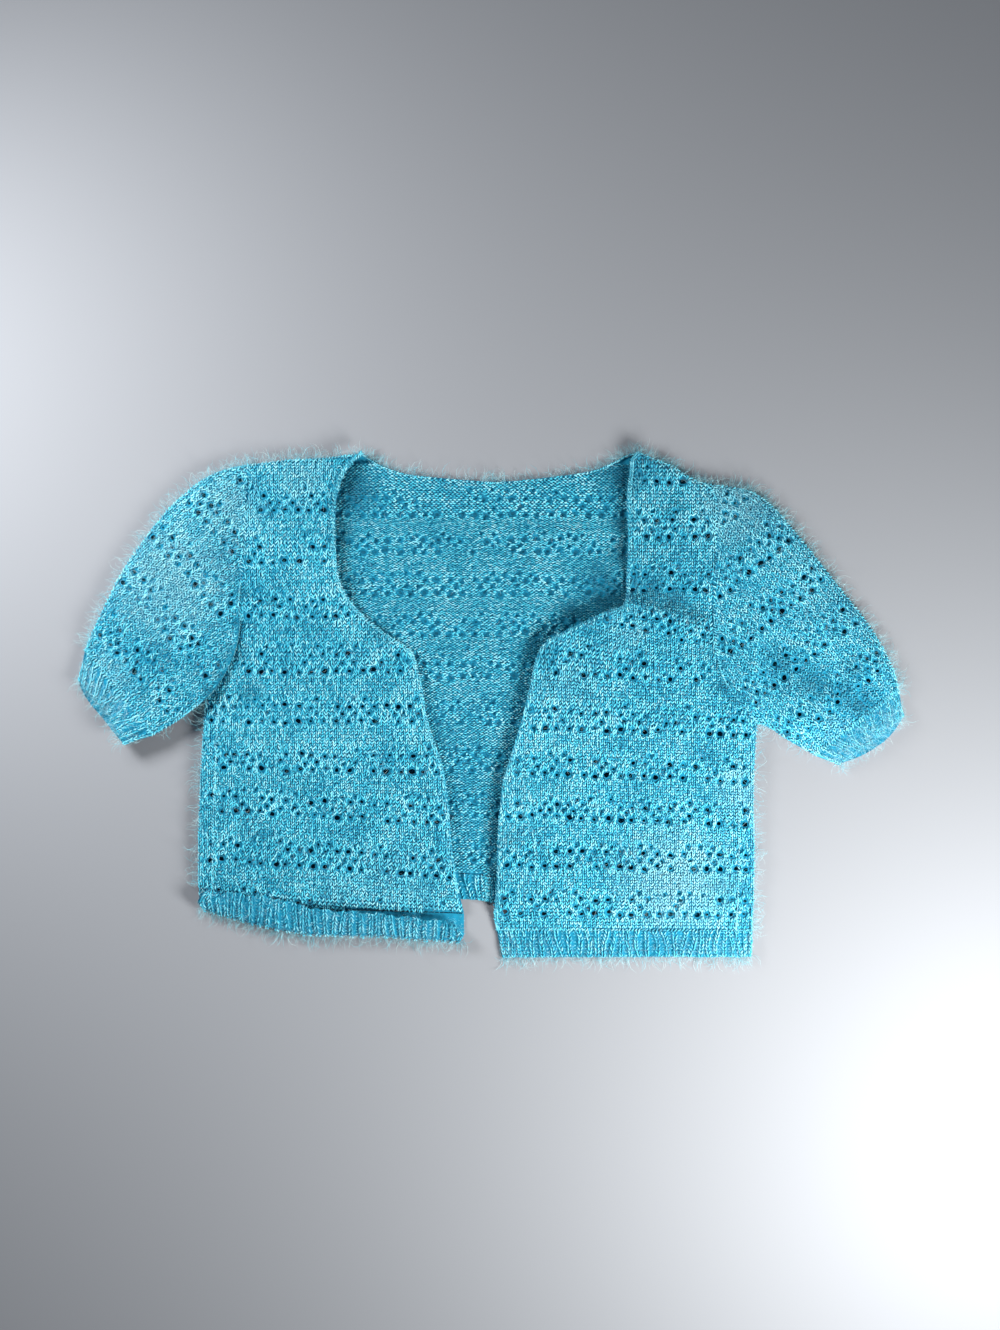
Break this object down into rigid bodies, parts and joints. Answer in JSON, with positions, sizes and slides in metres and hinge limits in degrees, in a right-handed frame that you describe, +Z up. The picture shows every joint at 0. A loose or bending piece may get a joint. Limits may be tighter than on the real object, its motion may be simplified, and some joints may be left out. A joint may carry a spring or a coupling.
{
  "type": "knitted shrug, laid flat",
  "caption": "Cropped open-front cardigan, hand-knitted in aqua mohair with eyelet bands, ribbed hems and short puff sleeves, laid flat.",
  "frame": {"origin": "centre of the garment's bounding box in plan, on the surface that it lies on", "axes": "+X across the garment to the viewer's right, +Y towards the neck, +Z up off the surface"},
  "size_m": [0.67, 0.4123, 0.0093],
  "materials": {
    "knit": "matte",
    "sleeve_knit": "matte",
    "rib": "matte"
  },
  "bodies": {
    "root": {"back": "knit", "back_hem_rib": "rib", "front_left": "knit", "front_left_hem_rib": "rib", "front_right": "knit", "front_right_hem_rib": "rib", "sleeve_left_top": "sleeve_knit", "sleeve_left_under": "sleeve_knit", "sleeve_right_top": "sleeve_knit", "sleeve_right_under": "sleeve_knit", "cuff_left_top": "rib", "cuff_left_under": "rib", "cuff_right_top": "rib", "cuff_right_under": "rib"}
  },
  "joints": []
}
